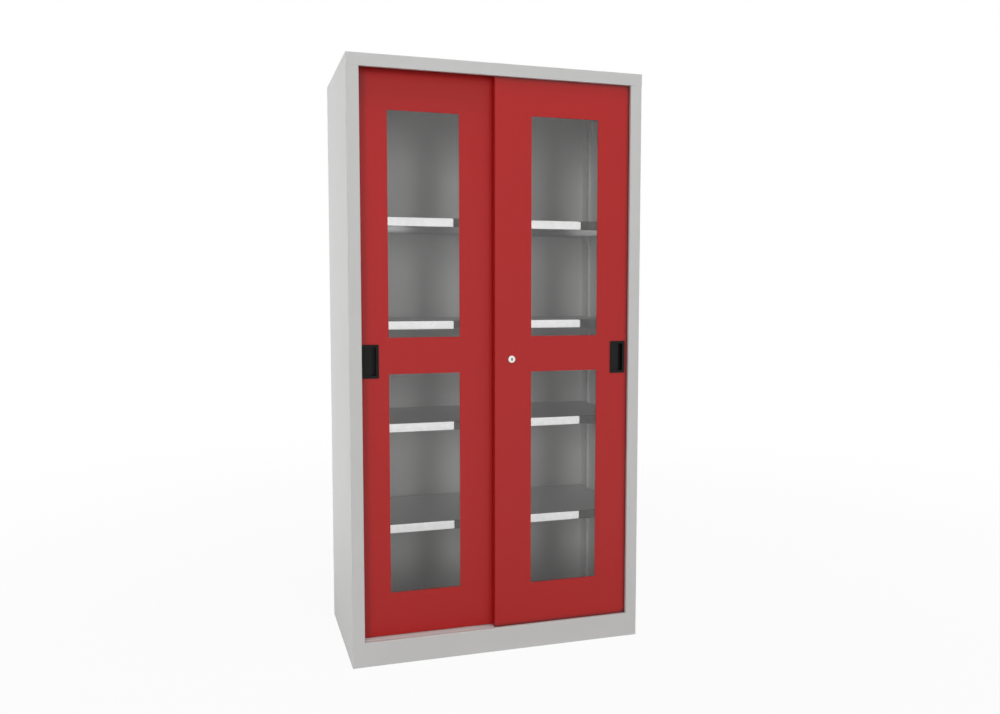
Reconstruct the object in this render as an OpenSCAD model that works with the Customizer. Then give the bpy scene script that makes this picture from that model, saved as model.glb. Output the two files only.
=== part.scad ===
// Sheet steel cabinet with two sliding doors, windows in the doors and shelves inside.
// Front faces -Y, the cabinet stands on z = 0 and is centred in X and Y.

/* [Cabinet] */
// Overall width
cabinet_w = 1000; // [900:10:1200]
// Overall depth, front face to back panel
cabinet_d = 520; // [500:10:620]
// Overall height
cabinet_h = 1950; // [1800:10:2100]
// Width of the two front stiles
stile_w = 40; // [30:1:45]
// Depth of the fold behind a stile or the top rail
stile_return = 11; // [8:0.5:11.5]
// Height of the top rail
rail_h = 40; // [36:1:60]
// Height of the plinth, up to the sill
plinth_h = 80; // [60:1:120]
// Width of the flanges that carry the back panel
rear_flange = 20; // [12:1:30]
// Width of the flanges that stand on the ground
foot_flange = 20; // [12:1:30]
// Depth of the floor tray below the top of the plinth
floor_drop = 40; // [20:1:45]
// Thickness of the sheet steel
sheet_t = 1; // [0.8:0.1:1.2]
// Inside radius of the bends
bend_r = 1.5; // [1:0.1:1.8]
// Hairline gap left at a seam between two sheets
seam = 0.3; // [0.1:0.05:0.5]

/* [Doors] */
// Front door face behind the front of the cabinet
door_setback = 12.5; // [12:0.5:16]
// Thickness of a door
door_t = 25; // [24:0.5:28]
// Gap between the two doors
door_gap = 9; // [8.5:0.5:14]
// From the outside of the cabinet to the door's outer edge
door_side_gap = 7; // [5:0.5:12]
// How far the closed doors overlap in the middle
door_overlap = 35.6; // [20:0.2:50]
// Height of the door's lower edge above the rails
door_lift = 0.3; // [0.3:0.1:1.5]
// How far the door reaches up behind the top rail
door_head = 14; // [8:1:16]
// Width of the lips folded in at the back of a door
door_lip = 12; // [8:1:16]
// Edge of the front door to the rear door's handle when that door is open
handle_clear = 6.2; // [2:0.2:60]

/* [Windows] */
// Left edge of a door to its windows
window_left = 127; // [125:1:150]
// Right edge of a door to its windows
window_right = 147.5; // [145:0.5:170]
// Lower edge of a door to the lower window
window_foot = 143; // [120:0.5:200]
// Upper edge of a door to the upper window
window_head = 134.5; // [100:0.5:200]
// Height of the rail between the two windows
window_rail = 119; // [90:1:200]
// Thickness of a clear pane
pane_t = 3; // [2:0.5:4]
// How far a pane laps behind the door skin
pane_lap = 14; // [10:1:16]
// Width of the flange round a retainer frame
retainer_flange = 12; // [10:1:13]

/* [Handles and lock] */
// Middle of the rail between the windows down to the handles and the lock
grip_drop = 17; // [-20:0.5:40]
// Width of a flush handle
handle_w = 54; // [50:1:56]
// Height of a flush handle
handle_h = 109.5; // [90:0.5:130]
// Left edge of the rear door to its handle
rear_handle_edge = 40; // [34:0.5:44]
// Right edge of the front door to its handle
front_handle_edge = 42.5; // [34:0.5:44]
// How far the handle's rim stands out of the door
handle_rim_t = 1.8; // [1:0.1:2]
// Width of the handle's rim round the finger cup
handle_rim_w = 8.5; // [7:0.5:10]
// Depth of the finger cup behind the door skin
cup_depth = 16; // [12:0.5:18]
// Depth of the cup's slope where it meets the finger slot
slope_depth = 4; // [2:0.5:8]
// Left edge of the front door to the lock's centre
lock_edge = 58.8; // [54:0.2:62]
// Diameter of the lock's rosette
rosette_d = 24.5; // [22:0.5:28]
// Diameter of the lock barrel
barrel_d = 18.8; // [17:0.1:20]
// Diameter of the key plug
plug_d = 13.6; // [12:0.1:14.5]
// Length of the cam from its pivot
cam_reach = 35; // [28:1:40]

/* [Running gear] */
// Rolling radius of a door roller
roll_r = 11.5; // [10:0.1:12.5]
// Width of a door roller
roller_w = 8; // [7:0.5:9]
// How far the roller's flanges stand out past its groove
roller_flange = 1; // [0.8:0.1:1.1]
// Edge of a door to a roller's axle
roller_inset = 34; // [32:1:60]
// Diameter of the axles
axle_d = 6; // [5:0.1:8]
// Height of a rail above the track
rail_rise = 1.2; // [1.1:0.1:1.5]
// Width of a rail
rail_w = 3; // [3:0.1:3.6]
// Thickness of the bottom track
track_t = 2.5; // [2.3:0.1:3]
// Depth of the track below the top of the plinth
track_sink = 2; // [1:0.5:4]
// Clear width of a top channel
channel_w = 16; // [14:0.5:20]
// Depth of the top channels
channel_h = 20; // [18:1:24]

/* [Shelves] */
// Depth of a shelf
shelf_d = 400; // [340:5:420]
// Front of a shelf behind the front of the cabinet
shelf_setback = 87; // [84:1:95]
// Height of a shelf's front lip
shelf_lip = 30; // [24:0.5:40]
// Width of the fold under a shelf's lip
shelf_return = 14; // [8:1:20]
// Count of slots below the lowest shelf
first_slot_count = 20; // [15:1:23]
// Count of slots from one shelf to the next
step_slot_count = 20; // [16:1:21]
// Distance between slots
slot_pitch = 16.97; // [15:0.01:17]
// Width of a slot
slot_w = 10; // [9:0.5:12]
// Height of a slot
slot_h = 7; // [6.5:0.5:8]
// Height of the first slot above the floor tray
slot_start = 24.55; // [14:0.05:30]
// Width of an upright's face
upright_w = 30; // [28:1:40]
// How far an upright stands out from the side panel
upright_d = 10; // [8:0.5:16]
// Front face of the cabinet to the middle of the front uprights
upright_front = 125; // [115:1:160]
// Back panel to the middle of the rear uprights
upright_back = 72; // [60:1:100]
// How far a shelf clip reaches in
clip_reach = 22; // [15:1:28]
// Height of a shelf clip
clip_h = 25; // [24:1:28]

/* [Hidden] */

// Colours of the finishes
grey_paint = "#c9cac8";
red_paint = "#a92d2a";
zinc = "#c3c6c8";
clear_sheet = [0.85, 0.9, 0.92, 0.35];
black_plastic = "#222423";
nylon = "#e9e7df";
rubber = "#2b2b2b";
nickel = "#d9d8d4";

// Smoothness of round things and of a bend
$fn = 48;
bend_steps = 3;
cut = 1;
half_t = sheet_t / 2;
joggle_r = 0.4;
run_gap = 0.3;
shaft_gap = 0.05;

// Planes of the carcass
front_y = -cabinet_d / 2;
back_y = cabinet_d / 2;
side_x = cabinet_w / 2;
wall_x = side_x - sheet_t;
inner_x = wall_x - seam;
flange_y = back_y - sheet_t - half_t;
flange_x = side_x - rear_flange;
rail_z = cabinet_h - rail_h;
roof_z = cabinet_h - sheet_t;
track_z = plinth_h - track_sink;
sill_z = track_z - track_t;
floor_z = plinth_h - floor_drop;

// Place and size of the doors: both are the same blank, not mirrored
door_edge_x = side_x - door_side_gap;
door_w = door_edge_x + door_overlap / 2;
door_z = track_z + rail_rise + door_lift;
door_top = rail_z + door_head;
door_h = door_top - door_z;
front_door_x = door_edge_x - door_w;
front_door_y = front_y + door_setback;
rear_door_x = -door_edge_x;
rear_door_y = front_door_y + door_t + door_gap;
rear_door_back = rear_door_y + door_t;
front_mid_y = front_door_y + door_t / 2;
rear_mid_y = rear_door_y + door_t / 2;

// Windows, panes and their frames, seen from the front with the door's left edge at 0
window_w = door_w - window_left - window_right;
window_h = (door_h - window_foot - window_head - window_rail) / 2;
window_x = window_left + window_w / 2;
lower_window_z = door_z + window_foot + window_h / 2;
upper_window_z = lower_window_z + window_h + window_rail;
grip_z = (lower_window_z + upper_window_z) / 2 - grip_drop;
pane_corner = 4;
retainer_set = 3;
retainer_gap = 0.4;
stud_d = 4;
nut_w = 7;
nut_t = 3.2;
stud_tip = 2;

// Running gear
axle_z = track_z + rail_rise + run_gap + roll_r;
roller_r = roll_r + roller_flange;
plate_t = 1.5;
plate_w = 32;
plate_rise = 56;
plate_lift = 1.5;
nut_rows = [0.66, 0.9];
roller_side_gap = 0.75;
plate_y = door_t / 2 - roller_w / 2 - roller_side_gap - plate_t / 2;
guide_inset = 40;
guide_l = 30;
guide_base_t = 3;
guide_base_l = 34;
guide_base_w = 19;
guide_corner = 2;
guide_flat = 2;
guide_top_gap = 6;
guide_w = channel_w - 2 * run_gap;
screw_d = 4;
screw_head_d = 8;
screw_head_t = 2;

// Handles
handle_lap = 4;
handle_corner = 3;
cup_fit = 0.3;
cup_wall = 1.8;
cup_undercut = 2;
rear_handle_x = rear_handle_edge;
front_handle_x = door_w - front_handle_edge - handle_w;
rear_travel = front_door_x - handle_clear - rear_door_x - rear_handle_x - handle_w;

// Lock: the cam turns in the gap between the doors
lock_x = front_door_x + lock_edge;
rosette_t = 2.5;
rosette_bevel = 1.2;
barrel_short = 2.5;
barrel_l = door_t - barrel_short;
lock_nut_t = 5;
lock_nut_w = 22.8;
plug_sink = 0.4;
cam_t = 2;
cam_w = 14;
cam_hub_d = 16;
cam_gap = 1;
cam_y = door_t + cam_gap;
tail_w = 7;
cam_screw_t = 3;
cam_screw_w = 11;
keeper_t = 1.5;
keeper_gap = 1;
keeper_h = 22;
keeper_drop = 16;
keeper_clear = 1.5;
keeper_reach = door_gap - keeper_clear;

// Shelves and uprights
floor_gap = 6.5;
floor_y = rear_door_back + floor_gap;
floor_back = back_y - 2 * sheet_t - bend_r;
sill_back = floor_y + half_t;
upright_front_y = front_y + upright_front;
upright_rear_y = back_y - upright_back;
upright_head = 50;
upright_top = cabinet_h - upright_head;
upright_foot = 10;
upright_face = wall_x - upright_d;
slot_count = floor((upright_top - floor_z - slot_start - slot_h) / slot_pitch);
shelf_y = front_y + shelf_setback;
clip_t = 1.5;
clip_w = 20;
clip_gap = 0.5;
hook_drop = 5;
hook_play = 2;
shelf_end = upright_face - clip_t - clip_gap;

function slot_z(n) = floor_z + slot_start + n * slot_pitch;
function shelf_under(k) = slot_z(first_slot_count + step_slot_count * (k - 1)) + hook_drop;

// Unit normal to the left of a direction
function left_of(d) = [-d.y, d.x] / norm(d);

// Points and normals round one bend of a folded sheet
function bend_round(a, b, c, r) =
    let (
        u = (b - a) / norm(b - a),
        v = (c - b) / norm(c - b),
        turn = u.x * v.y - u.y * v.x > 0 ? 1 : -1,
        angle = acos(u * v),
        centre = b - u * r * tan(angle / 2) + turn * r * left_of(u)
    )
    [for (i = [0:bend_steps])
        let (
            swing = turn * angle * i / bend_steps,
            n = [-u.y * cos(swing) - u.x * sin(swing), u.x * cos(swing) - u.y * sin(swing)]
        )
        [centre - turn * r * n, n]
    ];

// Outline of a sheet folded along its middle line
function folded(path, t = sheet_t, r = bend_r) =
    let (
        last = len(path) - 1,
        line = concat(
            [[path[0], left_of(path[1] - path[0])]],
            [for (i = [1:1:last - 1]) each bend_round(path[i - 1], path[i], path[i + 1], r + t / 2)],
            [[path[last], left_of(path[last] - path[last - 1])]]
        )
    )
    concat(
        [for (p = line) p[0] + p[1] * t / 2],
        [for (i = [len(line) - 1:-1:0]) line[i][0] - line[i][1] * t / 2]
    );

// Rectangle with round corners, centred
module round_rect(w, h, r) {
    square([w - 2 * r, h], center = true);
    square([w, h - 2 * r], center = true);
    for (x = [-1, 1], y = [-1, 1])
        translate([x * (w / 2 - r), y * (h / 2 - r)])
            circle(r);
}

// A section drawn in Y and Z, run along X
module along_x(x0, x1) {
    translate([x0, 0, 0])
        rotate([90, 0, 90])
            linear_extrude(x1 - x0)
                children();
}

// A shape drawn in X and Z, from depth y0 to y1
module along_y(y0, y1) {
    translate([0, y1, 0])
        rotate([90, 0, 0])
            linear_extrude(y1 - y0)
                children();
}

// A round shape turned about Y, drawn as radius and depth
module turned_y() {
    rotate([-90, 0, 0])
        rotate_extrude()
            children();
}

// Moves a part from its door's own place to the closed door
module on_rear_door() {
    translate([rear_door_x, rear_door_y, 0])
        children();
}

module on_front_door() {
    translate([front_door_x, front_door_y, 0])
        children();
}

// Side panel: stile, wall and rear flange from one sheet, with a foot flange.
// The stile's return starts above the plinth, so the plinth butts flush against the stile.
module side_panel() {
    stile_x = side_x - stile_w + half_t;
    face_y = front_y + half_t;
    corner = [side_x - half_t, face_y];
    wall = [side_x - half_t, flange_y];
    flange = [flange_x, flange_y];
    linear_extrude(plinth_h)
        polygon(folded([[side_x - stile_w, face_y], corner, wall, flange]));
    translate([0, 0, plinth_h])
        linear_extrude(rail_z - plinth_h)
            polygon(folded([[stile_x, front_y + stile_return], [stile_x, face_y], corner, wall, flange]));
    translate([0, 0, rail_z])
        difference() {
            linear_extrude(rail_h - sheet_t)
                polygon(folded([[side_x - half_t, front_y + sheet_t], wall, flange]));
            translate([wall_x - cut, front_y, roof_z - bend_r - rail_z])
                cube([sheet_t + 2 * cut, sheet_t + bend_r, bend_r + cut]);
        }
    foot_front = front_y + foot_flange + seam;
    foot_back = floor_back - foot_flange - seam;
    translate([side_x - foot_flange, foot_front, 0])
        cube([foot_flange - half_t, foot_back - foot_front, sheet_t]);
}

module left_side_panel() {
    color(grey_paint)
        mirror([1, 0, 0])
            side_panel();
}

module right_side_panel() {
    color(grey_paint)
        side_panel();
}

// Roof with the top rail folded down in front and a flange behind.
// The rail ends a hairline above the stiles and is folded in between them.
module top_panel() {
    rail_mid = front_y + half_t;
    roof_mid = cabinet_h - half_t;
    fold_x = side_x - stile_w;
    color(grey_paint) {
        along_x(-side_x, side_x)
            polygon(folded([
                [rail_mid, rail_z + seam],
                [rail_mid, roof_mid],
                [back_y - sheet_t, roof_mid]
            ]));
        along_x(-fold_x, fold_x)
            polygon(folded([
                [front_y + stile_return, rail_z + half_t],
                [rail_mid, rail_z + half_t],
                [rail_mid, rail_z + rail_h / 2]
            ]));
        along_x(-flange_x + seam, flange_x - seam)
            polygon(folded([
                [flange_y - rear_flange, roof_mid],
                [flange_y, roof_mid],
                [flange_y, cabinet_h - rear_flange]
            ]));
    }
}

module back_panel() {
    edge = 2 * sheet_t;
    color(grey_paint)
        along_y(back_y - sheet_t, back_y)
            translate([0, (edge + cabinet_h) / 2])
                square([2 * (side_x - edge), cabinet_h - edge], center = true);
}

// Floor tray: hangs on the sill's flange, its rear flange laps over the rear plinth
module base_floor() {
    front_mid = sill_back + sheet_t;
    color(grey_paint)
        along_x(-inner_x, inner_x)
            polygon(folded([
                [front_mid, sill_z - sheet_t - bend_r],
                [front_mid, floor_z - half_t],
                [floor_back - half_t, floor_z - half_t],
                [floor_back - half_t, floor_z / 2]
            ]));
}

// Plinth between the stiles, with the sill stepped down behind it for the track
module plinth_front() {
    face = front_y + half_t;
    step_y = front_door_y - sheet_t;
    sill_mid = sill_z - half_t;
    plinth_x = side_x - stile_w;
    color(grey_paint) {
        along_x(-plinth_x, plinth_x)
            polygon(folded([
                [front_y + foot_flange, half_t],
                [face, half_t],
                [face, plinth_h - half_t],
                [step_y, plinth_h - half_t],
                [step_y, sill_mid],
                [floor_y - foot_flange, sill_mid]
            ], sheet_t, joggle_r));
        along_x(-inner_x, inner_x)
            polygon(folded([
                [step_y + half_t, sill_mid],
                [sill_back, sill_mid],
                [sill_back, floor_z + bend_r]
            ]));
    }
}

module plinth_rear() {
    web_mid = floor_back - sheet_t - half_t;
    ledge_mid = floor_z - sheet_t - half_t;
    color(grey_paint)
        along_x(-inner_x, inner_x)
            polygon(folded([
                [floor_back - foot_flange, half_t],
                [web_mid, half_t],
                [web_mid, ledge_mid],
                [floor_back - foot_flange, ledge_mid]
            ]));
}

// Bottom track: a flat strip with one low round bead for each door's rollers
screw_seat = track_z - screw_head_t;
track_screw_y = (rear_mid_y + rail_w / 2 + floor_y) / 2;
track_screw_xs = [-2, -1, 0, 1, 2] * (inner_x - 2 * stile_w) / 2;

module bottom_track() {
    track_front = front_door_y - half_t + joggle_r + seam;
    color(grey_paint)
        difference() {
            along_x(-inner_x, inner_x) {
                translate([track_front, sill_z])
                    square([floor_y - seam - track_front, track_t]);
                for (y = [front_mid_y, rear_mid_y])
                    translate([y, track_z + rail_rise - rail_w / 2])
                        circle(d = rail_w);
            }
            for (x = track_screw_xs)
                translate([x, track_screw_y, 0]) {
                    translate([0, 0, sill_z - cut])
                        cylinder(d = screw_d + 2 * shaft_gap, h = track_t + cut);
                    translate([0, 0, screw_seat])
                        cylinder(d = screw_head_d + 2 * shaft_gap, h = screw_head_t + cut);
                }
        }
}

// Screws that hold the track down on the sill, with their heads sunk in it
module track_screws() {
    color(zinc)
        for (x = track_screw_xs)
            translate([x, track_screw_y, 0])
                difference() {
                    union() {
                        translate([0, 0, sill_z])
                            cylinder(d = screw_d, h = screw_seat - sill_z + cut);
                        translate([0, 0, screw_seat])
                            cylinder(d = screw_head_d, h = screw_head_t);
                    }
                    translate([0, 0, screw_seat + screw_head_t / 2])
                        cylinder(d = screw_d, h = screw_head_t, $fn = 6);
                }
}

// Top track: one strip folded into two channels for the door guides
module top_track() {
    reach = channel_w / 2 + half_t;
    high = roof_z - half_t;
    low = roof_z - channel_h;
    color(zinc)
        along_x(-inner_x, inner_x)
            polygon(folded([
                [front_mid_y - reach, low],
                [front_mid_y - reach, high],
                [front_mid_y + reach, high],
                [front_mid_y + reach, low + half_t],
                [rear_mid_y - reach, low + half_t],
                [rear_mid_y - reach, high],
                [rear_mid_y + reach, high],
                [rear_mid_y + reach, low]
            ]));
}

// Block in the rear channel that stops the rear door with its handle still in reach
module track_stop() {
    stop_l = 14;
    stop_corner = 3;
    guide_end = rear_door_x + door_w - guide_inset + guide_l / 2;
    stop_w = channel_w - 2 * (bend_r + run_gap);
    stop_z = roof_z - channel_h + 2 * sheet_t;
    color(rubber)
        translate([guide_end + rear_travel + run_gap + stop_l / 2, rear_mid_y, stop_z])
            linear_extrude(roof_z - sheet_t - stop_z)
                round_rect(stop_l, stop_w, stop_corner);
}

// Rubber buttons on the walls that the doors close and open against
module wall_buffer(side, y, z) {
    buffer_l = wall_x - door_edge_x - run_gap;
    buffer_r = 8;
    translate([side * wall_x, y, z])
        rotate([0, -90 * side, 0])
            rotate_extrude()
                polygon([
                    [0, 0],
                    [buffer_r, 0],
                    [buffer_r, buffer_l * 0.4],
                    [buffer_r * 0.75, buffer_l],
                    [0, buffer_l]
                ]);
}

module wall_buffers() {
    buffer_inset = 320;
    color(rubber)
        for (z = [door_z + buffer_inset, door_top - buffer_inset]) {
            wall_buffer(-1, rear_mid_y, z);
            wall_buffer(-1, front_mid_y, z);
            wall_buffer(1, front_mid_y, z);
        }
}

// Slotted hat section that the shelf clips hook into
module upright(y) {
    foot_x = wall_x - half_t;
    face_x = upright_face + half_t;
    edge = upright_w / 2 - half_t;
    translate([0, y, 0])
        difference() {
            translate([0, 0, floor_z])
                linear_extrude(upright_top - floor_z)
                    polygon(folded([
                        [foot_x, -edge - upright_foot],
                        [foot_x, -edge],
                        [face_x, -edge],
                        [face_x, edge],
                        [foot_x, edge],
                        [foot_x, edge + upright_foot]
                    ]));
            for (n = [0:slot_count])
                translate([upright_face - cut, -slot_w / 2, slot_z(n) - slot_h / 2])
                    cube([sheet_t + 2 * cut, slot_w, slot_h]);
        }
}

module upright_front_left() {
    color(grey_paint)
        mirror([1, 0, 0])
            upright(upright_front_y);
}

module upright_front_right() {
    color(grey_paint)
        upright(upright_front_y);
}

module upright_rear_left() {
    color(grey_paint)
        mirror([1, 0, 0])
            upright(upright_rear_y);
}

module upright_rear_right() {
    color(grey_paint)
        upright(upright_rear_y);
}

// Shelf: a tray folded down on all four sides, with the long lips turned in below
module shelf(k) {
    low = shelf_under(k);
    high = low + shelf_lip;
    near = shelf_y + half_t;
    far = shelf_y + shelf_d - half_t;
    color(zinc) {
        along_x(-shelf_end, shelf_end)
            polygon(folded([
                [near + shelf_return, low + half_t],
                [near, low + half_t],
                [near, high - half_t],
                [far, high - half_t],
                [far, low + half_t],
                [far - shelf_return, low + half_t]
            ]));
        for (x = [-shelf_end, shelf_end - sheet_t])
            translate([x, shelf_y + bend_r + sheet_t, low])
                cube([sheet_t, shelf_d - 2 * (bend_r + sheet_t), shelf_lip - half_t]);
    }
}

module shelf_1() { shelf(1); }
module shelf_2() { shelf(2); }
module shelf_3() { shelf(3); }
module shelf_4() { shelf(4); }

// Shelf clip: back plate with two hooks, ledge and gusset
module shelf_clip(y, low) {
    hook_w = slot_w - hook_play;
    hook_h = slot_h - hook_play;
    gusset_end = upright_face - clip_reach + 2 * clip_t;
    translate([0, y, 0]) {
        translate([upright_face - clip_t, -clip_w / 2, low - clip_h])
            cube([clip_t, clip_w, clip_h]);
        translate([upright_face - clip_reach, -clip_w / 2, low - clip_t])
            cube([clip_reach, clip_w, clip_t]);
        along_y(-clip_t / 2, clip_t / 2)
            polygon([
                [upright_face - clip_t / 2, low - clip_t / 2],
                [gusset_end, low - clip_t / 2],
                [upright_face - clip_t / 2, low - clip_h + 2 * clip_t]
            ]);
        for (z = [low - hook_drop, low - hook_drop - slot_pitch])
            translate([upright_face - clip_t / 2, -hook_w / 2, z - hook_h / 2]) {
                cube([clip_t / 2 + 2 * sheet_t, hook_w, hook_h]);
                translate([clip_t / 2 + sheet_t + run_gap, 0, -hook_h])
                    cube([sheet_t * 1.5, hook_w, 2 * hook_h]);
            }
    }
}

module shelf_clips(k) {
    color(zinc)
        for (y = [upright_front_y, upright_rear_y]) {
            shelf_clip(y, shelf_under(k));
            mirror([1, 0, 0])
                shelf_clip(y, shelf_under(k));
        }
}

module shelf_clips_1() { shelf_clips(1); }
module shelf_clips_2() { shelf_clips(2); }
module shelf_clips_3() { shelf_clips(3); }
module shelf_clips_4() { shelf_clips(4); }

// Door: a pan folded at all four edges, with cut-outs for windows, handle and rollers
module door_panel(handle_x) {
    back = door_t - half_t;
    far = door_w - half_t;
    roller_gap = 2;
    cutout = 2 * (roller_r + roller_gap);
    cutout_y = plate_y + plate_t / 2;
    cutout_d = roller_w + 2 * (roller_side_gap + roller_gap);
    difference() {
        union() {
            translate([0, 0, door_z])
                linear_extrude(door_h)
                    polygon(folded([
                        [door_lip, back],
                        [half_t, back],
                        [half_t, half_t],
                        [far, half_t],
                        [far, back],
                        [door_w - door_lip, back]
                    ]));
            for (z = [door_z, door_top - sheet_t])
                translate([half_t, half_t, z])
                    cube([door_w - sheet_t, door_t - half_t, sheet_t]);
            for (z = [door_z, door_top - door_lip])
                translate([half_t, door_t - sheet_t, z])
                    cube([door_w - sheet_t, sheet_t, door_lip]);
        }
        along_y(-cut, sheet_t + cut)
            for (z = [lower_window_z, upper_window_z])
                translate([window_x, z])
                    square([window_w, window_h], center = true);
        along_y(-cut, sheet_t + cut)
            translate([handle_x + handle_w / 2, grip_z])
                square([handle_w - 2 * handle_lap, handle_h - 2 * handle_lap], center = true);
        for (x = [roller_inset, door_w - roller_inset])
            translate([x - cutout / 2, cutout_y, door_z - cut])
                cube([cutout, cutout_d, sheet_t + 2 * cut]);
    }
}

module rear_door_panel() {
    color(red_paint)
        on_rear_door()
            door_panel(rear_handle_x);
}

module front_door_panel() {
    color(red_paint)
        on_front_door()
            difference() {
                door_panel(front_handle_x);
                along_y(-cut, sheet_t + cut)
                    translate([lock_edge, grip_z])
                        circle(d = barrel_d + 2 * shaft_gap);
            }
}

// Clear pane, larger than its window, against the back of the door skin
module pane(z) {
    color(clear_sheet)
        along_y(sheet_t, sheet_t + pane_t)
            translate([window_x, z])
                round_rect(window_w + 2 * pane_lap, window_h + 2 * pane_lap, pane_corner);
}

// Ring between two rounded rectangles, both wider than the window
module window_ring(z, inside, outside) {
    translate([window_x, z])
        difference() {
            round_rect(window_w + 2 * outside, window_h + 2 * outside, pane_corner);
            round_rect(window_w + 2 * inside, window_h + 2 * inside, pane_corner);
        }
}

// Retainer: a frame stepped over the pane's edge, with a flange on the door skin
pocket = pane_lap + retainer_gap;
step_out = pocket + sheet_t;
retainer_out = step_out + retainer_flange;

module retainer(z) {
    color(zinc) {
        along_y(sheet_t, 2 * sheet_t)
            window_ring(z, pocket, retainer_out);
        along_y(sheet_t, 2 * sheet_t + pane_t)
            window_ring(z, pocket, step_out);
        along_y(sheet_t + pane_t, 2 * sheet_t + pane_t)
            window_ring(z, retainer_set, step_out);
    }
}

// Nut on a stud that is welded to the door skin
module stud_nut(x, y, z) {
    translate([x, 0, z]) {
        along_y(y, y + nut_t)
            circle(d = nut_w / cos(30), $fn = 6);
        along_y(y + nut_t - cut, y + nut_t + stud_tip)
            circle(d = stud_d);
    }
}

// Nuts round both retainers and on the roller plates of one door
module door_nuts() {
    side = window_w / 2 + step_out + retainer_flange / 2;
    end = window_h / 2 + step_out + retainer_flange / 2;
    spread = window_h / 2 - nut_w;
    color(zinc) {
        for (z = [lower_window_z, upper_window_z]) {
            for (x = [-side, side], dz = [-spread, 0, spread])
                stud_nut(window_x + x, 2 * sheet_t, z + dz);
            for (dz = [-end, end])
                stud_nut(window_x, 2 * sheet_t, z + dz);
        }
        for (x = [roller_inset, door_w - roller_inset], up = nut_rows)
            stud_nut(x, sheet_t + plate_t, axle_z + plate_rise * up);
    }
}

// Flush handle: a rim over the door skin, a shallow slope and a deep finger slot at the right
module flush_handle(x) {
    left = handle_lap + cup_fit;
    right = handle_w - handle_lap - cup_fit;
    open_left = handle_rim_w;
    open_right = handle_w - handle_rim_w;
    pocket_left = open_right - handle_w / 4;
    pocket_right = right - cup_wall;
    cup_h = handle_h - 2 * handle_rim_w;
    shallow = cup_wall / 2;
    color(black_plastic)
        translate([x, 0, grip_z])
            difference() {
                union() {
                    along_y(-handle_rim_t, 0)
                        translate([handle_w / 2, 0])
                            round_rect(handle_w, handle_h, handle_corner);
                    translate([0, 0, -cup_h / 2 - cup_wall])
                        linear_extrude(cup_h + 2 * cup_wall)
                            polygon([
                                [left, -handle_rim_t / 2],
                                [right, -handle_rim_t / 2],
                                [right, cup_depth + cup_wall],
                                [pocket_left - cup_wall, cup_depth + cup_wall],
                                [pocket_left - cup_wall, slope_depth + cup_wall],
                                [left, shallow + cup_wall]
                            ]);
                }
                translate([0, 0, -cup_h / 2])
                    linear_extrude(cup_h)
                        polygon([
                            [open_left, -handle_rim_t - cut],
                            [open_right, -handle_rim_t - cut],
                            [open_right, cup_wall],
                            [pocket_right, cup_wall + cup_undercut],
                            [pocket_right, cup_depth],
                            [pocket_left, cup_depth],
                            [pocket_left, slope_depth],
                            [open_left, shallow]
                        ]);
            }
}

// Roller plate: stepped strip on two studs, its foot stands off to carry the axle
module roller_plate(x) {
    top = axle_z + plate_rise;
    foot = door_z + sheet_t + plate_lift;
    seat_y = sheet_t + plate_t / 2;
    bend_z = axle_z + roller_r + plate_t;
    step_z = bend_z + 1.5 * (plate_y - seat_y);
    color(zinc)
        difference() {
            along_x(x - plate_w / 2, x + plate_w / 2)
                polygon(folded(
                    [[seat_y, top], [seat_y, step_z], [plate_y, bend_z], [plate_y, foot]],
                    plate_t
                ));
            along_y(0, door_t)
                translate([x, axle_z])
                    circle(d = axle_d + 2 * shaft_gap);
        }
}

// Axle: riveted pin with a head before the plate and a collar behind the roller
module axle(x) {
    plate_front = plate_y - plate_t / 2;
    roller_back = door_t / 2 + roller_w / 2;
    head_r = axle_d * 0.8;
    head_t = 2;
    tip = roller_back + run_gap;
    translate([x, 0, axle_z])
        turned_y()
            polygon([
                [0, plate_front - head_t],
                [head_r * 0.7, plate_front - head_t],
                [head_r, plate_front - head_t / 2],
                [head_r, plate_front],
                [axle_d / 2, plate_front],
                [axle_d / 2, tip],
                [head_r * 0.9, tip],
                [head_r * 0.9, tip + head_t / 2],
                [head_r * 0.6, tip + head_t],
                [0, tip + head_t]
            ]);
}

module axles() {
    color(zinc) {
        axle(roller_inset);
        axle(door_w - roller_inset);
    }
}

// Roller: grooved nylon wheel with dished faces
module roller(x) {
    bore = axle_d / 2 + shaft_gap;
    mid = door_t / 2;
    side = roller_w / 2;
    groove = rail_w / 2 + run_gap;
    hub_wall = 3;
    rim_wall = 2;
    bevel = 0.5;
    flank = 0.6;
    dish = 1.2;
    hub_r = axle_d / 2 + hub_wall;
    rim_r = roll_r - rim_wall;
    color(nylon)
        translate([x, 0, axle_z])
            turned_y()
                polygon([
                    [bore, mid - side],
                    [hub_r, mid - side],
                    [hub_r, mid - side + dish],
                    [rim_r, mid - side + dish],
                    [rim_r, mid - side],
                    [roller_r - bevel, mid - side],
                    [roller_r, mid - side + bevel],
                    [roller_r, mid - groove - flank],
                    [roll_r, mid - groove],
                    [roll_r, mid + groove],
                    [roller_r, mid + groove + flank],
                    [roller_r, mid + side - bevel],
                    [roller_r - bevel, mid + side],
                    [rim_r, mid + side],
                    [rim_r, mid + side - dish],
                    [hub_r, mid + side - dish],
                    [hub_r, mid + side],
                    [bore, mid + side]
                ]);
}

// Top guides: nylon shoes on the door's upper edge that run in a top channel
guide_z = roof_z - sheet_t - guide_top_gap;
guide_xs = [guide_inset, door_w - guide_inset];

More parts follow.
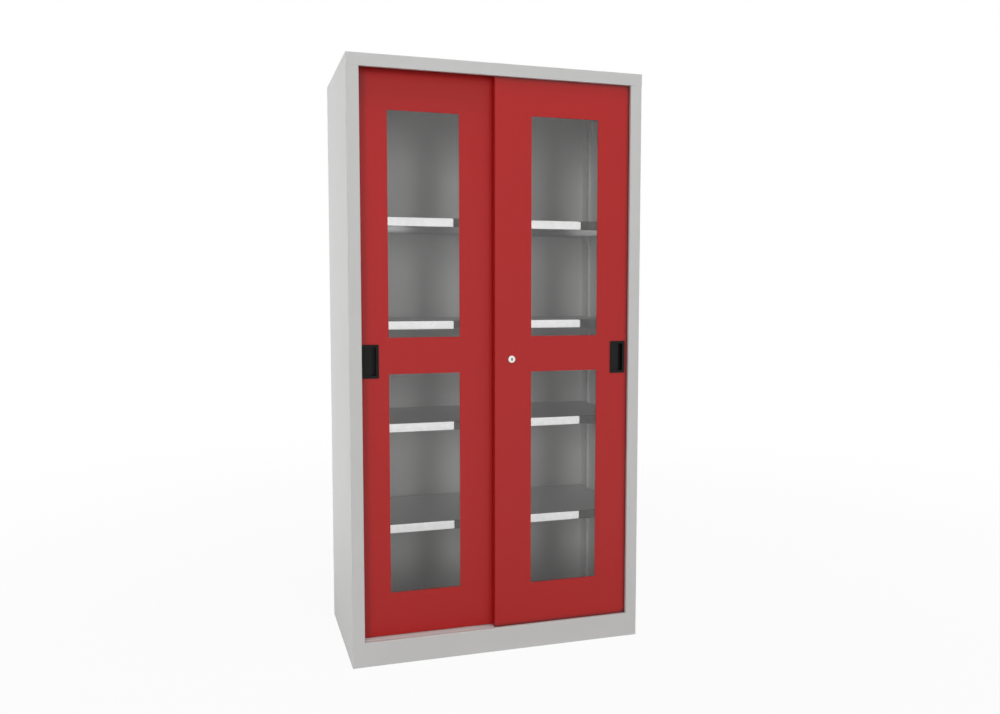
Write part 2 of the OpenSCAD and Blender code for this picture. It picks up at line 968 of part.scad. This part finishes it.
module top_guides() {
    color(nylon)
        for (x = guide_xs)
            translate([x, door_t / 2, door_top])
                difference() {
                    union() {
                        linear_extrude(guide_base_t)
                            round_rect(guide_base_l, guide_base_w, guide_corner);
                        linear_extrude(guide_z - door_top)
                            round_rect(guide_l, guide_w, (guide_w - guide_flat) / 2);
                    }
                    translate([0, 0, -cut])
                        cylinder(d = screw_d + 2 * shaft_gap, h = guide_z);
                    translate([0, 0, guide_base_t + screw_head_t])
                        cylinder(d = screw_head_d + 2 * run_gap, h = guide_z);
                }
}

// Screws that hold the guides, with their heads sunk in the shoes
module guide_screws() {
    seat = door_top + guide_base_t + screw_head_t;
    color(zinc)
        for (x = guide_xs)
            translate([x, door_t / 2, 0])
                difference() {
                    union() {
                        translate([0, 0, door_top])
                            cylinder(d = screw_d, h = seat - door_top + cut);
                        translate([0, 0, seat])
                            cylinder(d = screw_head_d, h = 2 * screw_head_t);
                    }
                    translate([0, 0, seat + screw_head_t])
                        cylinder(d = screw_d, h = 2 * screw_head_t, $fn = 6);
                }
}

module rear_upper_pane() { on_rear_door() pane(upper_window_z); }
module rear_lower_pane() { on_rear_door() pane(lower_window_z); }
module rear_upper_retainer() { on_rear_door() retainer(upper_window_z); }
module rear_lower_retainer() { on_rear_door() retainer(lower_window_z); }
module rear_nuts() { on_rear_door() door_nuts(); }
module rear_handle() { on_rear_door() flush_handle(rear_handle_x); }
module rear_left_roller_plate() { on_rear_door() roller_plate(roller_inset); }
module rear_right_roller_plate() { on_rear_door() roller_plate(door_w - roller_inset); }
module rear_axles() { on_rear_door() axles(); }
module rear_left_roller() { on_rear_door() roller(roller_inset); }
module rear_right_roller() { on_rear_door() roller(door_w - roller_inset); }
module rear_top_guides() { on_rear_door() top_guides(); }
module rear_guide_screws() { on_rear_door() guide_screws(); }
module front_upper_pane() { on_front_door() pane(upper_window_z); }
module front_lower_pane() { on_front_door() pane(lower_window_z); }
module front_upper_retainer() { on_front_door() retainer(upper_window_z); }
module front_lower_retainer() { on_front_door() retainer(lower_window_z); }
module front_nuts() { on_front_door() door_nuts(); }
module front_handle() { on_front_door() flush_handle(front_handle_x); }
module front_left_roller_plate() { on_front_door() roller_plate(roller_inset); }
module front_right_roller_plate() { on_front_door() roller_plate(door_w - roller_inset); }
module front_axles() { on_front_door() axles(); }
module front_left_roller() { on_front_door() roller(roller_inset); }
module front_right_roller() { on_front_door() roller(door_w - roller_inset); }
module front_top_guides() { on_front_door() top_guides(); }
module front_guide_screws() { on_front_door() guide_screws(); }

// Lock housing: rosette before the skin and a barrel through it
module lock_housing() {
    bore = plug_d / 2 + shaft_gap;
    rosette_r = rosette_d / 2;
    color(nickel)
        on_front_door()
            translate([lock_edge, 0, grip_z])
                turned_y()
                    polygon([
                        [bore, -rosette_t],
                        [rosette_r - rosette_bevel, -rosette_t],
                        [rosette_r, -rosette_t + rosette_bevel],
                        [rosette_r, 0],
                        [barrel_d / 2, 0],
                        [barrel_d / 2, barrel_l],
                        [bore, barrel_l]
                    ]);
}

module lock_nut() {
    color(nickel)
        on_front_door()
            translate([lock_edge, 0, grip_z])
                along_y(sheet_t, sheet_t + lock_nut_t)
                    difference() {
                        circle(d = lock_nut_w / cos(30), $fn = 6);
                        circle(d = barrel_d + 2 * shaft_gap);
                    }
}

// Key plug: turns in the housing, with a keyway in front and a square tail behind
module lock_plug() {
    keyway_w = 2.6;
    keyway_h = 9;
    keyway_l = 18;
    face = plug_sink - rosette_t;
    color(nickel)
        on_front_door()
            translate([lock_edge, 0, grip_z])
                difference() {
                    union() {
                        along_y(face, barrel_l)
                            circle(d = plug_d);
                        along_y(barrel_l - cut, cam_y + cam_t)
                            square(tail_w, center = true);
                    }
                    along_y(face - cut, face + keyway_l)
                        square([keyway_w, keyway_h], center = true);
                    along_y(cam_y - 2 * cut, cam_y + cam_t + cut)
                        circle(d = screw_d + 2 * shaft_gap);
                }
}

// Cam: points right when open and down when locked
module lock_cam() {
    color(zinc)
        on_front_door()
            translate([lock_edge, 0, grip_z])
                along_y(cam_y, cam_y + cam_t)
                    difference() {
                        union() {
                            circle(d = cam_hub_d);
                            translate([0, -cam_w / 2])
                                square([cam_reach - cam_w / 2, cam_w]);
                            translate([cam_reach - cam_w / 2, 0])
                                circle(d = cam_w);
                        }
                        square(tail_w + 2 * shaft_gap, center = true);
                    }
}

module lock_cam_screw() {
    seat = cam_y + cam_t;
    color(zinc)
        on_front_door()
            translate([lock_edge, 0, grip_z])
                difference() {
                    union() {
                        along_y(cam_y - cut, seat + cut)
                            circle(d = screw_d);
                        along_y(seat, seat + cam_screw_t)
                            circle(d = cam_screw_w);
                    }
                    along_y(seat + cam_screw_t / 2, seat + cam_screw_t + cut)
                        circle(d = screw_d, $fn = 6);
                }
}

// Keeper on the rear door: its tab stands left of the locked cam and below the lock's hub
keeper_x = lock_x - cam_w / 2 - keeper_gap - rear_door_x;
keeper_z = grip_z - keeper_drop - keeper_h;
keeper_back = door_w - 2 * door_lip;
keeper_screw_xs = [keeper_back + door_lip / 2, door_w - door_lip / 2];

module lock_keeper() {
    plate_mid = -keeper_t / 2;
    tab_mid = keeper_x - keeper_t / 2;
    color(zinc)
        on_rear_door()
            difference() {
                translate([0, 0, keeper_z])
                    linear_extrude(keeper_h)
                        polygon(folded(
                            [[keeper_back, plate_mid], [tab_mid, plate_mid], [tab_mid, -keeper_reach]],
                            keeper_t
                        ));
                for (x = keeper_screw_xs)
                    translate([x, 0, keeper_z + keeper_h / 2])
                        along_y(-keeper_t - cut, cut)
                            circle(d = screw_d + 2 * shaft_gap);
            }
}

module keeper_screws() {
    color(zinc)
        on_rear_door()
            for (x = keeper_screw_xs)
                translate([x, 0, keeper_z + keeper_h / 2])
                    difference() {
                        union() {
                            along_y(-keeper_t - cut, 0)
                                circle(d = screw_d);
                            along_y(-keeper_t - screw_head_t, -keeper_t)
                                circle(d = screw_head_d);
                        }
                        along_y(-keeper_t - screw_head_t - cut, -keeper_t - screw_head_t / 2)
                            circle(d = screw_d, $fn = 6);
                    }
}

left_side_panel();
right_side_panel();
top_panel();
back_panel();
base_floor();
plinth_front();
plinth_rear();
bottom_track();
track_screws();
top_track();
track_stop();
wall_buffers();
upright_front_left();
upright_front_right();
upright_rear_left();
upright_rear_right();
shelf_1();
shelf_2();
shelf_3();
shelf_4();
shelf_clips_1();
shelf_clips_2();
shelf_clips_3();
shelf_clips_4();
rear_door_panel();
rear_upper_pane();
rear_lower_pane();
rear_upper_retainer();
rear_lower_retainer();
rear_nuts();
rear_handle();
rear_left_roller_plate();
rear_right_roller_plate();
rear_axles();
rear_left_roller();
rear_right_roller();
rear_top_guides();
rear_guide_screws();
lock_keeper();
keeper_screws();
front_door_panel();
front_upper_pane();
front_lower_pane();
front_upper_retainer();
front_lower_retainer();
front_nuts();
front_handle();
front_left_roller_plate();
front_right_roller_plate();
front_axles();
front_left_roller();
front_right_roller();
front_top_guides();
front_guide_screws();
lock_housing();
lock_nut();
lock_plug();
lock_cam();
lock_cam_screw();
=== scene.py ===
import math

import bpy
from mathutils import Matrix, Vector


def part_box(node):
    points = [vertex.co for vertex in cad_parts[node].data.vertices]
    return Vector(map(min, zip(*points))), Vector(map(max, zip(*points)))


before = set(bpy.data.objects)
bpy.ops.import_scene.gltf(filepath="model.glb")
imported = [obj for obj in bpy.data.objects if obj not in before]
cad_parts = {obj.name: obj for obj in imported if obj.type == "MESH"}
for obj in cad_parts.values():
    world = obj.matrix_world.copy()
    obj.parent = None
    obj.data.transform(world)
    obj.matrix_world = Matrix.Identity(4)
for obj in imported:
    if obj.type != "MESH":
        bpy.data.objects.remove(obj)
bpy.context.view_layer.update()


# Carcass: folded sheet steel, spot welded into one body and powder coated light grey afterwards.
# The baked powder is one even satin film over faces, folds and seams, with a faint orange peel
# and a slow change in cover from one hand's width to the next.
def linear(hex_colour):
    """Linear RGBA of an sRGB hex colour."""
    srgb = [int(hex_colour[i:i + 2], 16) / 255 for i in (1, 3, 5)]
    return [c / 12.92 if c <= 0.04045 else ((c + 0.055) / 1.055) ** 2.4 for c in srgb] + [1.0]


def add_node(tree, kind, inputs, **settings):
    """A new node with its settings, its input values, and links where an input is a socket."""
    node = tree.nodes.new(kind)
    for name, value in settings.items():
        setattr(node, name, value)
    for name, value in inputs.items():
        if isinstance(value, bpy.types.NodeSocket):
            tree.links.new(value, node.inputs[name])
        else:
            node.inputs[name].default_value = value
    return node


def new_material(name):
    """An empty node material with that name."""
    material = bpy.data.materials.new(name)
    material.use_nodes = True
    material.node_tree.nodes.clear()
    return material


def dress(material, *names):
    """Gives CAD nodes their finish."""
    for name in names:
        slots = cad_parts[name].data.materials
        slots.clear()
        slots.append(material)


# A colour Mix node's sockets by number, because its socket names repeat.
mix_by, mix_from, mix_to, mix_out = 0, 6, 7, 2


def powder_coat(name, thick, thin):
    """Baked powder coat, in the colours of its thick and its thin places."""
    film = 0.16  # metres between thick and thin places
    peel, peel_height = 0.005, 0.0002  # metres; real peel is 1 to 2 mm wide, drawn coarser to show
    material = new_material(name)
    tree = material.node_tree
    place = add_node(tree, "ShaderNodeTexCoord", {})
    cover = add_node(tree, "ShaderNodeTexNoise", {
        "Vector": place.outputs["Object"], "Scale": 1 / film, "Detail": 3,
    })
    colour = add_node(tree, "ShaderNodeMix", {
        mix_by: cover.outputs["Fac"], mix_from: linear(thick), mix_to: linear(thin),
    }, data_type="RGBA")
    waves = add_node(tree, "ShaderNodeTexNoise", {
        "Vector": place.outputs["Object"], "Scale": 1 / peel, "Detail": 2,
    })
    sheen = add_node(tree, "ShaderNodeMapRange", {
        "Value": waves.outputs["Fac"], "To Min": 0.40, "To Max": 0.50,
    })
    relief = add_node(tree, "ShaderNodeBump", {
        "Height": waves.outputs["Fac"], "Strength": 0.12, "Distance": peel_height,
    })
    paint = add_node(tree, "ShaderNodeBsdfPrincipled", {
        "Base Color": colour.outputs[mix_out],
        "Roughness": sheen.outputs["Result"],
        "Normal": relief.outputs["Normal"],
        "IOR": 1.6,
    }, name="paint")
    add_node(tree, "ShaderNodeOutputMaterial", {"Surface": paint.outputs["BSDF"]})
    return material


light_grey_coat = powder_coat("light_grey_powder_coat", "#cdcdcc", "#c8c8c7")
dress(light_grey_coat, "left_side_panel", "right_side_panel", "top_panel", "back_panel",
      "base_floor", "plinth_front", "plinth_rear", "bottom_track", "upright_front_left",
      "upright_front_right", "upright_rear_left", "upright_rear_right")


# Top track, retainers, clips, plates, nuts and screws: small pressed and turned steel parts.
# They are barrel plated with zinc and passivated, which leaves a satin silver with a trace of
# blue and straw, and the tumbling in the barrel makes the shine uneven.
tint, tumbling = 0.03, 0.0025  # metres
plated_steel = new_material("zinc_plated_steel")
tree = plated_steel.node_tree
place = add_node(tree, "ShaderNodeTexCoord", {})
film = add_node(tree, "ShaderNodeTexNoise", {
    "Vector": place.outputs["Object"], "Scale": 1 / tint, "Detail": 2,
})
colour = add_node(tree, "ShaderNodeMix", {
    mix_by: film.outputs["Fac"], mix_from: linear("#c4c9cc"), mix_to: linear("#d2cfc4"),
}, data_type="RGBA")
tumble = add_node(tree, "ShaderNodeTexNoise", {
    "Vector": place.outputs["Object"], "Scale": 1 / tumbling, "Detail": 4,
})
satin = add_node(tree, "ShaderNodeMapRange", {
    "Value": tumble.outputs["Fac"], "To Min": 0.26, "To Max": 0.42,
})
metal = add_node(tree, "ShaderNodeBsdfPrincipled", {
    "Base Color": colour.outputs[mix_out],
    "Metallic": 1.0,
    "Roughness": satin.outputs["Result"],
})
add_node(tree, "ShaderNodeOutputMaterial", {"Surface": metal.outputs["BSDF"]})
dress(plated_steel, "track_screws", "top_track", "shelf_clips_1", "shelf_clips_2",
      "shelf_clips_3", "shelf_clips_4", "rear_upper_retainer", "rear_lower_retainer",
      "rear_nuts", "rear_left_roller_plate", "rear_right_roller_plate", "rear_axles",
      "rear_guide_screws", "lock_keeper", "keeper_screws", "front_upper_retainer",
      "front_lower_retainer", "front_nuts", "front_left_roller_plate",
      "front_right_roller_plate", "front_axles", "front_guide_screws", "lock_cam",
      "lock_cam_screw")


# Shelves: trays folded from bright hot-dip galvanised sheet and left bare.
# The zinc is skin-passed, so the lips mirror the room over a faint flattened spangle, while the
# level faces, top and bottom, are drawn duller and in a darker grey, which is painted shade.
spangle = 0.012  # metres
roll_mark, roll_length = 0.0006, 0.03  # metres across and along the rolling
galvanised = new_material("galvanised_steel")
tree = galvanised.node_tree
place = add_node(tree, "ShaderNodeTexCoord", {})
crystal = add_node(tree, "ShaderNodeTexVoronoi", {
    "Vector": place.outputs["Object"], "Scale": 1 / spangle,
})
shade = add_node(tree, "ShaderNodeSeparateColor", {"Color": crystal.outputs["Color"]})
bright = add_node(tree, "ShaderNodeMix", {
    mix_by: shade.outputs["Red"], mix_from: linear("#e4e5e5"), mix_to: linear("#ececeb"),
}, data_type="RGBA")
facing = add_node(tree, "ShaderNodeSeparateXYZ", {"Vector": place.outputs["Normal"]})
upright = add_node(tree, "ShaderNodeMath", {0: facing.outputs["Z"]}, operation="ABSOLUTE")
level = add_node(tree, "ShaderNodeMapRange", {
    "Value": upright.outputs["Value"], "From Min": 0.6, "From Max": 0.9,
})
# painted shade: the level faces, top and bottom, take the darker grey
colour = add_node(tree, "ShaderNodeMix", {
    mix_by: level.outputs["Result"], mix_from: bright.outputs[mix_out], mix_to: linear("#cfd0d0"),
}, data_type="RGBA")
rolling = add_node(tree, "ShaderNodeMapping", {
    "Vector": place.outputs["Object"], "Scale": (roll_mark / roll_length, 1, 1),
})
streaks = add_node(tree, "ShaderNodeTexNoise", {
    "Vector": rolling.outputs["Vector"], "Scale": 1 / roll_mark, "Detail": 2,
})
polish = add_node(tree, "ShaderNodeMapRange", {
    "Value": streaks.outputs["Fac"], "To Min": 0.04, "To Max": 0.10,
})
scuffs = add_node(tree, "ShaderNodeMapRange", {
    "Value": level.outputs["Result"], "To Min": 0.0, "To Max": 0.4,
})
worn = add_node(tree, "ShaderNodeMath", {
    0: polish.outputs["Result"], 1: scuffs.outputs["Result"],
}, operation="ADD")
zinc = add_node(tree, "ShaderNodeBsdfPrincipled", {
    "Base Color": colour.outputs[mix_out],
    "Metallic": 1.0,
    "Roughness": worn.outputs["Value"],
})
add_node(tree, "ShaderNodeOutputMaterial", {"Surface": zinc.outputs["BSDF"]})
dress(galvanised, "shelf_1", "shelf_2", "shelf_3", "shelf_4")


# Sliding doors: each a sheet steel pan folded at all four edges, with two window openings.
# They are powder coated signal red, and light grey on the side that faces the shelves.
# A painted shade, taken from ambient occlusion near the frame, darkens the red to near black along
# the edges of the front door's skin.
shade_reach = 0.02  # metres from the frame to where the painted shade ends
skin_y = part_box("front_door_panel")[0].y
shade_from, shade_to = skin_y + 0.004, skin_y + 0.008  # metres; it fades out behind the skin
signal_red_coat = powder_coat("red_powder_coat", "#ad0c09", "#a90c09")
tree = signal_red_coat.node_tree
paint = tree.nodes["paint"]
red = paint.inputs["Base Color"].links[0].from_socket
place = add_node(tree, "ShaderNodeTexCoord", {})
facing = add_node(tree, "ShaderNodeSeparateXYZ", {"Vector": place.outputs["Normal"]})
behind = add_node(tree, "ShaderNodeMapRange", {
    "Value": facing.outputs["Y"], "From Min": 0.4, "From Max": 0.6,
})
lined = add_node(tree, "ShaderNodeMix", {
    mix_by: behind.outputs["Result"], mix_from: red, mix_to: linear("#cbcbca"),
}, data_type="RGBA")
# painted shade: where the frame is within reach, the red is mixed towards near black
gap = add_node(tree, "ShaderNodeAmbientOcclusion", {"Distance": shade_reach}, samples=8)
gap_shade = add_node(tree, "ShaderNodeMapRange", {
    "Value": gap.outputs["AO"], "From Min": 0.5, "From Max": 0.9, "To Min": 0.9, "To Max": 0.0,
})
depth = add_node(tree, "ShaderNodeSeparateXYZ", {"Vector": place.outputs["Object"]})
skin = add_node(tree, "ShaderNodeMapRange", {
    "Value": depth.outputs["Y"], "From Min": shade_from, "From Max": shade_to,
    "To Min": 1.0, "To Max": 0.0,
})
rim = add_node(tree, "ShaderNodeMath", {
    0: gap_shade.outputs["Result"], 1: skin.outputs["Result"],
}, operation="MULTIPLY")
shaded_red = add_node(tree, "ShaderNodeMix", {
    mix_by: rim.outputs["Value"], mix_from: lined.outputs[mix_out], mix_to: linear("#140302"),
}, data_type="RGBA")
tree.links.new(shaded_red.outputs[mix_out], paint.inputs["Base Color"])
dress(signal_red_coat, "rear_door_panel", "front_door_panel")


# Window panes: clear cast acrylic, clamped behind the door skin by the retainers.
# They let the light through almost whole; only a weak mirror image and wiping marks give them
# away. At the far face the light comes from inside, so the index is turned over there.
wipe = 0.05  # metres
acrylic_ior = 1.49
clear_acrylic = new_material("clear_acrylic")
tree = clear_acrylic.node_tree
place = add_node(tree, "ShaderNodeTexCoord", {})
marks = add_node(tree, "ShaderNodeTexNoise", {
    "Vector": place.outputs["Object"], "Scale": 1 / wipe, "Detail": 4,
})
gloss = add_node(tree, "ShaderNodeMapRange", {
    "Value": marks.outputs["Fac"], "To Min": 0.0, "To Max": 0.06,
})
side = add_node(tree, "ShaderNodeNewGeometry", {})
index = add_node(tree, "ShaderNodeMapRange", {
    "Value": side.outputs["Backfacing"], "To Min": acrylic_ior, "To Max": 1 / acrylic_ior,
})
mirror = add_node(tree, "ShaderNodeFresnel", {"IOR": index.outputs["Result"]})
through = add_node(tree, "ShaderNodeBsdfTransparent", {"Color": linear("#fefefe")})
shine = add_node(tree, "ShaderNodeBsdfGlossy", {
    "Color": linear("#ffffff"), "Roughness": gloss.outputs["Result"],
})
sheet = add_node(tree, "ShaderNodeMixShader", {
    "Fac": mirror.outputs["Fac"], 1: through.outputs["BSDF"], 2: shine.outputs["BSDF"],
})
add_node(tree, "ShaderNodeOutputMaterial", {"Surface": sheet.outputs["Shader"]})
dress(clear_acrylic, "rear_upper_pane", "rear_lower_pane", "front_upper_pane", "front_lower_pane")


# Flush pulls: injection moulded ABS, black through and through, snapped into the door skin.
# The mould is spark eroded, which gives the rim and the finger cup a fine dull grain.
erosion, erosion_depth = 0.0015, 0.0001  # metres; the real grain is a third as wide
black_abs = new_material("black_abs")
tree = black_abs.node_tree
place = add_node(tree, "ShaderNodeTexCoord", {})
grain = add_node(tree, "ShaderNodeTexNoise", {
    "Vector": place.outputs["Object"], "Scale": 1 / erosion, "Detail": 2,
})
colour = add_node(tree, "ShaderNodeMix", {
    mix_by: grain.outputs["Fac"], mix_from: linear("#0b0c0c"), mix_to: linear("#111212"),
}, data_type="RGBA")
dull = add_node(tree, "ShaderNodeMapRange", {
    "Value": grain.outputs["Fac"], "To Min": 0.36, "To Max": 0.52,
})
relief = add_node(tree, "ShaderNodeBump", {
    "Height": grain.outputs["Fac"], "Strength": 0.4, "Distance": erosion_depth,
})
plastic = add_node(tree, "ShaderNodeBsdfPrincipled", {
    "Base Color": colour.outputs[mix_out],
    "Roughness": dull.outputs["Result"],
    "Normal": relief.outputs["Normal"],
    "IOR": 1.53,
    "Specular IOR Level": 0.2,
})
add_node(tree, "ShaderNodeOutputMaterial", {"Surface": plastic.outputs["BSDF"]})
dress(black_abs, "rear_handle", "front_handle")


# Rollers and top guides: moulded in natural nylon, running on axles and held by screws.
# The plastic is milky, with a soft waxy shine and faint flow marks from the gate.
flow = 0.006  # metres
natural_nylon = new_material("natural_nylon")
tree = natural_nylon.node_tree
place = add_node(tree, "ShaderNodeTexCoord", {})
streak = add_node(tree, "ShaderNodeTexNoise", {
    "Vector": place.outputs["Object"], "Scale": 1 / flow, "Detail": 3,
})
colour = add_node(tree, "ShaderNodeMix", {
    mix_by: streak.outputs["Fac"], mix_from: linear("#e4dfd0"), mix_to: linear("#eeeadf"),
}, data_type="RGBA")
waxy = add_node(tree, "ShaderNodeMapRange", {
    "Value": streak.outputs["Fac"], "To Min": 0.38, "To Max": 0.5,
})
nylon = add_node(tree, "ShaderNodeBsdfPrincipled", {
    "Base Color": colour.outputs[mix_out],
    "Roughness": waxy.outputs["Result"],
    "IOR": 1.53,
    "Subsurface Weight": 0.15,
    "Subsurface Radius": (0.002, 0.0015, 0.001),
    "Subsurface Scale": 1.0,
})
add_node(tree, "ShaderNodeOutputMaterial", {"Surface": nylon.outputs["BSDF"]})
dress(natural_nylon, "rear_left_roller", "rear_right_roller", "front_left_roller",
      "front_right_roller", "rear_top_guides", "front_top_guides")


# Wall buffers and track stop: moulded black rubber, glued and pressed in place.
# Carbon-filled rubber is a dull charcoal with a bloom of paler dust.
bloom, bloom_height = 0.004, 0.0001  # metres
black_rubber = new_material("black_rubber")
tree = black_rubber.node_tree
place = add_node(tree, "ShaderNodeTexCoord", {})
powder = add_node(tree, "ShaderNodeTexNoise", {
    "Vector": place.outputs["Object"], "Scale": 1 / bloom, "Detail": 4,
})
colour = add_node(tree, "ShaderNodeMix", {
    mix_by: powder.outputs["Fac"], mix_from: linear("#1d1d1c"), mix_to: linear("#2d2d2b"),
}, data_type="RGBA")
relief = add_node(tree, "ShaderNodeBump", {
    "Height": powder.outputs["Fac"], "Strength": 0.2, "Distance": bloom_height,
})
moulding = add_node(tree, "ShaderNodeBsdfPrincipled", {
    "Base Color": colour.outputs[mix_out],
    "Roughness": 0.8,
    "Normal": relief.outputs["Normal"],
    "IOR": 1.52,
})
add_node(tree, "ShaderNodeOutputMaterial", {"Surface": moulding.outputs["BSDF"]})
dress(black_rubber, "wall_buffers", "track_stop")


# Cam lock: a die-cast housing and key plug, turned and nickel plated, held by a nut behind.
# The plating is bright, with fine rings left by the turning tool round the lock's axis, and a
# dark oval round the keyway is painted shade, drawn in place of the shade in a wider key entry.
tool_ring = 0.0008  # metres; the real rings are a quarter of that
rings_per_unit = 10 / math.pi  # what the wave texture draws at a scale of 1
shade_half_width, shade_half_height = 0.0024, 0.0055  # metres, wider than the slot so it shows
lock_low, lock_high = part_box("lock_housing")
lock_centre = (lock_low + lock_high) / 2
bright_nickel = new_material("bright_nickel")
tree = bright_nickel.node_tree
place = add_node(tree, "ShaderNodeTexCoord", {})
centred = add_node(tree, "ShaderNodeMapping", {
    "Vector": place.outputs["Object"], "Location": -lock_centre,
})
rings = add_node(tree, "ShaderNodeTexWave", {
    "Vector": centred.outputs["Vector"], "Scale": 1 / (tool_ring * rings_per_unit),
    "Distortion": 0.5,
}, wave_type="RINGS", rings_direction="Y")
turned = add_node(tree, "ShaderNodeMapRange", {
    "Value": rings.outputs["Fac"], "To Min": 0.10, "To Max": 0.18,
})
across = add_node(tree, "ShaderNodeVectorMath", {
    0: centred.outputs["Vector"], 1: (1 / shade_half_width, 0, 1 / shade_half_height),
}, operation="MULTIPLY")
spread = add_node(tree, "ShaderNodeVectorMath", {0: across.outputs["Vector"]}, operation="LENGTH")
# painted shade: a dark oval round the keyway, wider than the slot
keyway_shade = add_node(tree, "ShaderNodeMapRange", {
    "Value": spread.outputs["Value"], "From Min": 0.8, "From Max": 1.2,
    "To Min": 1.0, "To Max": 0.0,
})
colour = add_node(tree, "ShaderNodeMix", {
    mix_by: keyway_shade.outputs["Result"], mix_from: linear("#f3f2ef"), mix_to: linear("#2c2b2a"),
}, data_type="RGBA")
nickel = add_node(tree, "ShaderNodeBsdfPrincipled", {
    "Base Color": colour.outputs[mix_out],
    "Metallic": 1.0,
    "Roughness": turned.outputs["Result"],
})
add_node(tree, "ShaderNodeOutputMaterial", {"Surface": nickel.outputs["BSDF"]})
dress(bright_nickel, "lock_housing", "lock_nut", "lock_plug")


# Room: a plain studio, white all round.
# It is white to the eye and in mirror images, and its own light is dim and comes from above.
def seen(tree):
    """1 for rays from the camera, a mirror or a pane, 0 for the rays that carry light."""
    path = add_node(tree, "ShaderNodeLightPath", {})
    mirrored = add_node(tree, "ShaderNodeMath", {
        0: path.outputs["Is Camera Ray"], 1: path.outputs["Is Glossy Ray"],
    }, operation="MAXIMUM")
    passed = add_node(tree, "ShaderNodeMath", {
        0: mirrored.outputs["Value"], 1: path.outputs["Is Transmission Ray"],
    }, operation="MAXIMUM")
    return passed.outputs["Value"]


room = bpy.data.worlds.new("white_room")
room.use_nodes = True
tree = room.node_tree
tree.nodes.clear()
place = add_node(tree, "ShaderNodeTexCoord", {})
way = add_node(tree, "ShaderNodeSeparateXYZ", {"Vector": place.outputs["Generated"]})
ceiling = add_node(tree, "ShaderNodeMapRange", {
    "Value": way.outputs["Z"], "To Min": 0.1, "To Max": 0.3,
})
lighting = add_node(tree, "ShaderNodeBackground", {
    "Color": linear("#ffffff"), "Strength": ceiling.outputs["Result"],
})
white = add_node(tree, "ShaderNodeBackground", {"Color": linear("#ffffff"), "Strength": 1.0})
shown = add_node(tree, "ShaderNodeMixShader", {
    "Fac": seen(tree), 1: lighting.outputs["Background"], 2: white.outputs["Background"],
})
add_node(tree, "ShaderNodeOutputWorld", {"Surface": shown.outputs["Shader"]})
bpy.context.scene.world = room


# Floor: a pale matt disc that runs out to white, so that no horizon shows.
# To the camera it is nearly white and keeps the cabinet's shadow; in mirror images the lit floor
# shows near the cabinet and gives way to white further out.
floor_r, floor_z = 25.0, -0.0005  # metres; just under the cabinet's foot
floor_corners = 96
turns = [2 * math.pi * k / floor_corners for k in range(floor_corners)]
edge = [(floor_r * math.cos(turn), floor_r * math.sin(turn), floor_z) for turn in turns]
floor_mesh = bpy.data.meshes.new("floor")
floor_mesh.from_pydata(edge, [], [list(range(floor_corners))])
floor = bpy.data.objects.new("floor", floor_mesh)
bpy.context.scene.collection.objects.link(floor)
pale_floor = new_material("pale_floor")
tree = pale_floor.node_tree
place = add_node(tree, "ShaderNodeTexCoord", {})
reach = add_node(tree, "ShaderNodeVectorMath", {0: place.outputs["Object"]}, operation="LENGTH")
fade = add_node(tree, "ShaderNodeMapRange", {
    "Value": reach.outputs["Value"], "From Min": 0.6, "From Max": 2.1,
    "To Min": 0.2, "To Max": 0.9,
})
far = add_node(tree, "ShaderNodeMapRange", {
    "Value": reach.outputs["Value"], "From Min": 0.8, "From Max": 5.0,
    "To Min": 0.94, "To Max": 1.0,
}, interpolation_type="SMOOTHSTEP")
path = add_node(tree, "ShaderNodeLightPath", {})
near = add_node(tree, "ShaderNodeMath", {
    0: path.outputs["Is Camera Ray"], 1: far.outputs["Result"],
}, operation="MULTIPLY")
pale = add_node(tree, "ShaderNodeMath", {
    0: near.outputs["Value"], 1: fade.outputs["Result"],
}, operation="MAXIMUM")
glow = add_node(tree, "ShaderNodeMath", {
    0: pale.outputs["Value"], 1: seen(tree),
}, operation="MULTIPLY")
matt = add_node(tree, "ShaderNodeBsdfDiffuse", {"Color": linear("#cecece")})
white = add_node(tree, "ShaderNodeEmission", {"Color": linear("#ffffff"), "Strength": 1.0})
both = add_node(tree, "ShaderNodeMixShader", {
    "Fac": glow.outputs["Value"], 1: matt.outputs["BSDF"], 2: white.outputs["Emission"],
})
add_node(tree, "ShaderNodeOutputMaterial", {"Surface": both.outputs["Shader"]})
floor_mesh.materials.append(pale_floor)


# Lamps: four large soft boxes, in front on the left, on the left, straight in front and above.
# They light the cabinet at a plain level, and mirrors and panes show the white room instead.
def soft_lamp(name, place, target, width, height, power):
    """A soft box that faces a point: metres and watts."""
    light = bpy.data.lights.new(name, "AREA")
    light.shape = "RECTANGLE"
    light.size = width
    light.size_y = height
    light.energy = power
    lamp = bpy.data.objects.new(name, light)
    bpy.context.scene.collection.objects.link(lamp)
    lamp.location = place
    lamp.visible_glossy = False
    aim = [t - p for t, p in zip(target, place)]
    rise = math.atan2(aim[2], math.hypot(aim[0], aim[1]))
    lamp.rotation_euler = (math.pi / 2 + rise, 0, math.atan2(-aim[0], aim[1]))


soft_lamp("front_lamp", (-7.2, -12.0, 3.2), (0, 0, 1.4), 2.4, 5.4, 540)
soft_lamp("left_lamp", (-5.0, 3.0, 0.9), (-0.5, 0, 0.5), 2.5, 2.5, 186)
soft_lamp("fill_lamp", (0.5, -8.2, 2.0), (0, 0, 1.1), 1.9, 3.0, 112)
soft_lamp("top_lamp", (1.6, -2.6, 8.5), (0, 0, 1.2), 4.0, 3.0, 265)


# Camera: where the photograph was taken from, in front of the cabinet and to its left.
# It stands level, turned to the right and slightly down, as fitted to the cabinet's outline.
turned_right, tilted_down = 17.081, 4.208  # degrees
camera_data = bpy.data.cameras.new("camera")
camera_data.sensor_width = 36.0
camera_data.lens = 32.089
camera = bpy.data.objects.new("camera", camera_data)
bpy.context.scene.collection.objects.link(camera)
camera.location = (-0.86746, -3.06968, 1.21473)
camera.rotation_euler = (math.radians(90 - tilted_down), 0, math.radians(-turned_right))
bpy.context.scene.camera = camera
bpy.context.scene.view_settings.view_transform = "Standard"
